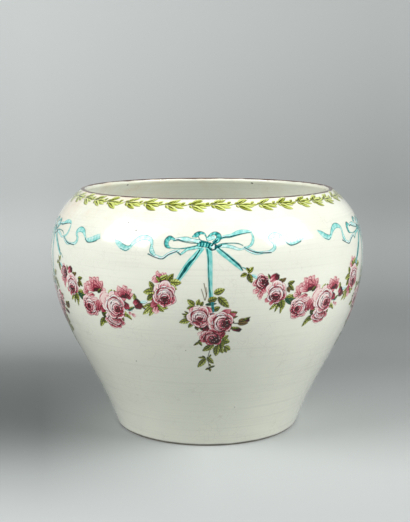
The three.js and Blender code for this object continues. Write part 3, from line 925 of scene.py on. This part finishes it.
bouquetMotifs = (
    ("stem", ((-2.4, 79, 0.7), (-1.4, 84, 0.8), (-0.6, 89, 0.8), (-1.4, 93, 0.7)),
     ((-4.6, 84, 0.6), (-3.4, 88, 0.7), (-2, 93, 0.7)), ((-0.6, 82.6, 0.5), (0, 86, 0.6), (-0.4, 90, 0.6))),
    ("leaf", (6, 87.6, 15.4, 83.6, 5.6, 0.48), (9.6, 90.6, 19.2, 100.4, 6.2, 0.58),
     (-1.6, 97.6, 8.6, 96.4, 2.8, 0.8, dict(family="teal")), (0.8, 94.6, 9, 91.4, 5.6, 0.62),
     (-10.6, 98.6, -17, 93, 5, 0.5), (-11.6, 99.6, -17.6, 101.4, 3.6, 0.52),
     (-8.6, 98.4, -6.6, 92.4, 3.6, 0.46), (-6, 98.6, -3, 94.6, 3.4, 0.56), (5, 103, 11.6, 99.4, 4.4, 0.62),
     (-14.6, 108.6, -22.4, 106, 2.6, 0.55), (-14.8, 107, -20, 103.6, 2.2, 0.55),
     (-15, 109.6, -21, 109, 2.2, 0.6), (-14.6, 111.6, -25, 114.6, 5, 0.5),
     (-12.6, 114.6, -17, 119.4, 3.6, 0.58), (-10, 117, -8, 122, 3.6, 0.72),
     (-6.6, 117.6, -9.6, 120, 3.4, 0.78), (-5, 117.4, -4.6, 122, 3.6, 0.8),
     (17, 108, 27, 104.6, 5, 0.56, dict(family="brown")),
     (18, 110.6, 27.6, 108.6, 3, 0.5, dict(family="brown"))),
    ("stalk", ((20.4, 114, 0.8), (24.6, 115.2, 1), (29, 115.4, 1))),
    ("petal", (35.4, 112.8, 6.4, 4.6, -24, 0.84, dict(shade=-0.2))),
    ("leaf", (27.4, 115.8, 37.4, 115.4, 4, 0.58, dict(family="brown")), (28, 114.4, 39.4, 109.6, 2.6, 0.58),
     (28, 113.6, 33.4, 110.8, 2.8, 0.44, dict(family="brown"))),
    ("stalk", ((18.6, 119, 0.8), (21.6, 120, 0.9), (24, 120.6, 0.9))),
    ("petal", (26.6, 121.2, 10, 4.8, 12, 0.82, dict(shade=-0.2))),
    ("leaf", (20.6, 119.6, 29, 120.4, 2.8, 0.55), (18, 119, 20.6, 123.6, 3, 0.72),
     (21, 112.6, 24.6, 114.4, 2.4, 0.7), (-6, 133, -12.8, 137.6, 2.6, 0.58),
     (-7.6, 132.4, -4.6, 138, 2.8, 0.6), (-5.4, 131.6, -8.6, 133.6, 2.2, 0.6),
     (5, 137, -4.4, 143.4, 5.4, 0.6), (6.6, 136.6, 0.6, 143, 3.8, 0.44), (13.6, 132, 21.4, 134, 6.4, 0.56),
     (14, 131, 20, 127, 4, 0.5), (12.6, 132.6, 13.6, 142, 6.6, 0.7), (10, 137, 8.6, 149, 6.6, 0.56),
     (13, 140, 15.6, 146, 4.4, 0.52), (16.4, 138.4, 22.6, 142.6, 5.4, 0.54),
     (17, 141, 19, 145.4, 3.6, 0.56)),
    ("stalk", ((3, 142, 0.7), (1.4, 148, 0.7), (1, 152, 0.8), (1.8, 158, 0.7), (2.6, 163.6, 0.7))),
    ("leaf", (-1, 151.6, -9.6, 162, 5.6, 0.52), (0, 150, 6.8, 157.6, 4.8, 0.56),
     (-1, 151, -9, 150.4, 2.6, 0.48), (-2, 151.4, -4.6, 148.4, 2.6, 0.66), (4, 147, 2, 151, 2, 0.4),
     (2.4, 157.6, 4, 160.6, 2, 0.36), (2.4, 162, 8.4, 160, 2.4, 0.62), (2.6, 162.6, -1.8, 164.6, 2.6, 0.62),
     (2.6, 162.4, 3.6, 166.8, 2.8, 0.64)),
    ("petal", (2.4, 103.6, 10, 6, 62, 0.26, dict(seed=2)), (5, 107.4, 6, 4.4, 30, 0.64),
     (-11.6, 101.6, 9, 4.6, 150, 0.28), (16, 105, 11, 6, -20, 0.44), (21.6, 107.6, 8, 4, -10, 0.5),
     (-0.6, 119.4, 7, 8, 80, 0.8), (12.6, 125, 9, 7, 40, 0.76, dict(seed=3))),
    ("rose",
     (-6.8, 108.8, 10.8, -0.02, dict(heart=(0.04, 0.2), seed=21, turn=8, core=0.26, cup=0.66, near=0.9))),
    ("petal", (3, 112, 12, 4, 110, 0.28)),
    ("rose",
     (12.2, 114.8, 12, 0.12,
      dict(heart=(0.2, 0.1), seed=24, turn=-12, contrast=1.2, core=0.28, cup=0.64, near=0.8))),
    ("petal", (-5.4, 124.8, 7, 4, 150, 0.14), (-2.4, 131, 8, 6, 160, 0.52)),
    ("rose",
     (4, 129, 11, 0.38,
      dict(heart=(0.18, 0.16), seed=27, turn=10, squash=0.8, contrast=1.1, core=0.38, near=0))),
)

# each of the five repeats was laid on by hand, so each sits a little differently
repeats = (  # sector, bow (shift x, y, tilt), swag to its right (shift x, y), bouquet (shift x, y)
    (0, (0.0, 0.0, 0.0), (0.0, 0.0), (0.0, 0.0)),
    (1, (3.2, -1.6, -3.0), (-4.0, 0.6), (1.5, 1.0)),
    (2, (-1.0, 0.4, -1.2), (2.0, -0.8), (-2.0, -0.6)),
    (-2, (2.0, -0.6, -2.2), (-5.0, 1.2), (1.0, 0.4)),
    (-1, (-1.6, -1.0, -1.4), (-10.2, 2.0), (-1.0, 0.0)),
)
printSheet = dict(
    radius=bowl["bellyRadius"] * 1000,  # the sheet's x runs round at this radius, millimetres
    columns=10, columnSteps=244, bands=(0, 155, 423),  # pieces round the bowl, dots in each, rows of dots
    margin=35,  # dots past the back seam at either end
    faintest=0.004,  # cover below which no ink is wrapped
    proud=0.00006,  # metres that the inks stand out from the glaze
    crispness=1.3,
)


def paintMotifs(sheet, motifs, shiftX, shiftY):
    for kind, *places in motifs:
        for place in places:
            if kind == "leaf":
                x0, y0, x1, y1, width, tone, *look = place
                paintLeaf(sheet, x0 + shiftX, y0 + shiftY, x1 + shiftX, y1 + shiftY, width, tone,
                          seed=int(x0 * 3 + y0), **dict(*look))
            elif kind == "petal":
                x, y, length, width, turn, tone, *look = place
                paintPetal(sheet, x + shiftX, y + shiftY, length, width, turn, tone, **dict(*look))
            elif kind in ("rose", "fan"):
                x, y, size, tone, look = place
                (paintRose if kind == "rose" else paintFan)(sheet, x + shiftX, y + shiftY, size, tone, **look)
            else:
                family, tone = ("brown", 0.5) if kind == "stem" else ("leaf", 0.75)
                points = [(x + shiftX, y + shiftY, width) for x, y, width in place]
                paintStroke(sheet, points, tone, 0.1, family)


def paintStrokes(sheet, strokes, shiftX, shiftY, tilt=0.0, pivot=(3.0, 44.0)):
    for number, (points, tone, edge, *look) in enumerate(strokes):
        moved = []
        for x, y, width in points:
            dx, dy = turned(x - pivot[0], y - pivot[1], tilt)
            moved.append((pivot[0] + dx + shiftX, pivot[1] + dy + shiftY, width))
        paintStroke(sheet, moved, tone, edge, seed=number, **dict(*look))


def paintBorder(sheet, b, turn):
    pitch = turn / b["pitchCount"]
    for number in range(b["pitchCount"] + 2):
        x = -turn / 2 + (b["start"] % pitch) + (number - 1) * pitch + b["wander"] * math.sin(number * 2.3)
        lift = 0.45 * math.sin(number * 1.7)
        stem = [(x + px, py + lift, width) for px, py, width in b["stem"]]
        paintStroke(sheet, stem, 0.40, 0.0, "leaf")
        for piece, (x0, y0, x1, y1, width, tone) in enumerate(b["leaves"]):
            grow = 1 + 0.12 * math.sin(number * 3.1 + piece * 1.9)
            stalkX, stalkY = x + x0, y0 + lift
            outX = (x1 - x0) * grow
            tipY = max(0.7, y0 + (y1 - y0) * grow + lift)
            paintLeaf(sheet, stalkX, stalkY, stalkX + outX, tipY, width * grow * b["fuller"],
                      tone + 0.07 * math.sin(number * 1.3 + piece), seed=number + piece,
                      bend=0.14 * math.sin(number + piece * 2), teeth=0.0, vein=0.15, outline=0.35)
            if width < b["streaked"]:
                continue
            # a dark streak from the stalk end along the upper side
            outY, reach = tipY - stalkY, 0.62 + 0.14 * math.sin(number * 1.1 + piece)
            streak = ((stalkX, stalkY, 0.7), (stalkX + outX * 0.3, stalkY + outY * 0.26 - 0.3, 1.3),
                      (stalkX + outX * reach, stalkY + outY * reach - 0.2, 0.5))
            paintStroke(sheet, streak, 0.66, 0.0, "leaf", cover=0.8)


def paintPrint(s):
    turn = 2 * math.pi * s["radius"]
    step = turn / (s["columns"] * s["columnSteps"])
    spare = s["margin"] * step
    sheet = Sheet(-turn / 2 - spare, turn / 2 + spare, 0.0, s["bands"][-1] * step, step)
    paintBorder(sheet, borderSprig, turn)
    for sector, (bowX, bowY, tilt), (swagX, swagY), (bouquetX, bouquetY) in repeats:
        for lap in (-1, 0, 1):  # whatever crosses the back seam shows at both ends of the sheet
            home = turn / 5 * sector + turn * lap
            if abs(home) > turn * 0.75:
                continue
            paintStrokes(sheet, tieStrokes["centre"][:2], home + bowX, bowY)
            paintStrokes(sheet, tieStrokes["left"] + tieStrokes["right"], home + bowX, bowY)
            paintMotifs(sheet, swagMotifs, home + swagX, swagY)
            paintStrokes(sheet, bowStrokes + knotStrokes, home + bowX, bowY, tilt)
            paintMotifs(sheet, bouquetMotifs, home + bouquetX, bouquetY)
            paintStrokes(sheet, tieStrokes["centre"][2:], home + bowX, bowY)
    crisp(sheet, s["crispness"])
    for x, y, size in pinholes:
        paintPetal(sheet, x, y, size, size * 0.8, 30 * x, 1.0, 0.0, "brown")
    return sheet



def wrapLines(b):
    # how far down from the lip's edge each point of the outside lies, for the wrap
    outside, intoClay = wallLines(dict(b, wallSteps=700, shoulderSteps=500))
    points = np.array([(p.x, p.z) for p in outside])
    outwards = np.array([(-d.x, -d.z) for d in intoClay])
    walked = np.concatenate([[0], np.cumsum(np.hypot(*np.diff(points, axis=0).T))])
    return (walked[-1] - walked)[::-1] * 1000, points[::-1], outwards[::-1]


darkInks = dict(pale=0.45, dark=0.04, coatLost=0.72)  # the darkest have sunk into the glaze and shine less


def printMaterial(s):
    material, tree, shader = newMaterial("glazedCreamPrint")
    ground = addNode(tree, "ShaderNodeGroup", node_tree=creamGlaze).outputs
    printed = addNode(tree, "ShaderNodeVertexColor", layer_name="print").outputs
    colour = mixColour(tree, printed["Alpha"], ground["Color"], printed["Color"])
    paleness = addNode(tree, "ShaderNodeRGBToBW", {0: printed["Color"]}).outputs[0]
    dark = times(tree, printed["Alpha"], ramp(tree, paleness, s["pale"], s["dark"]))
    glossOn(tree, shader, glaze, colour, ground["Roughness"], ground["Height"], dark, s["coatLost"])
    return material


def wrapPiece(name, sheet, s, firstColumn, firstRow, lastRow, lines, material):
    across, down = s["columnSteps"], lastRow - firstRow
    shape = bmesh.new()
    bmesh.ops.create_grid(shape, x_segments=across, y_segments=down, size=0.5)
    mesh = bpy.data.meshes.new(name)

    def flatPlaces():
        shape.to_mesh(mesh)
        flat = np.empty(len(mesh.vertices) * 3)
        mesh.vertices.foreach_get("co", flat)
        x, y = flat.reshape(-1, 3).T[:2]
        return (np.rint((x + 0.5) * across).astype(int) + firstColumn,
                np.rint((0.5 - y) * down).astype(int) + firstRow)

    i, j = flatPlaces()
    inked = (sheet.cover[j, i] > s["faintest"]).tolist()
    bare = [face for face in shape.faces if not any(inked[vert.index] for vert in face.verts)]
    bmesh.ops.delete(shape, geom=bare, context="FACES")
    i, j = flatPlaces()
    shape.free()
    drops, points, outwards = lines
    drop = sheet.top + j * sheet.step
    angle = (sheet.left + i * sheet.step) / s["radius"]
    standing = points + s["proud"] * outwards
    radius, height = [np.interp(drop, drops, part) for part in standing.T]
    wrapped = np.stack([radius * np.sin(angle), -radius * np.cos(angle), height], -1)
    mesh.vertices.foreach_set("co", wrapped.ravel())
    paint = np.column_stack([linear(sheet.colour[j, i]), sheet.cover[j, i]])
    ink = mesh.color_attributes.new(name="print", type="FLOAT_COLOR", domain="POINT")
    ink.data.foreach_set("color", paint.ravel())
    corners = np.empty(len(mesh.loops), int)
    mesh.loops.foreach_get("vertex_index", corners)
    unrolled = inset(np.column_stack([i - firstColumn, lastRow - j]) / max(across, down))
    mesh.uv_layers.new(name="OFBake").data.foreach_set("uv", unrolled[corners].ravel())
    return addPiece(name, mesh, material, "root")


printed = paintPrint(printSheet)
print("print painted:", printed.across, "by", printed.down, "dots")
wrap, inkMaterial, inkFaces = wrapLines(bowl), printMaterial(darkInks), 0
for column in range(printSheet["columns"]):
    first = printSheet["margin"] + column * printSheet["columnSteps"]
    for band, top, bottom in zip(("Upper", "Lower"), printSheet["bands"], printSheet["bands"][1:]):
        piece = wrapPiece("print%s%02d" % (band, column + 1), printed, printSheet, first, top, bottom, wrap,
                          inkMaterial)
        inkFaces += len(piece.data.polygons)
print("print wrapped on the bowl:", inkFaces, "faces")
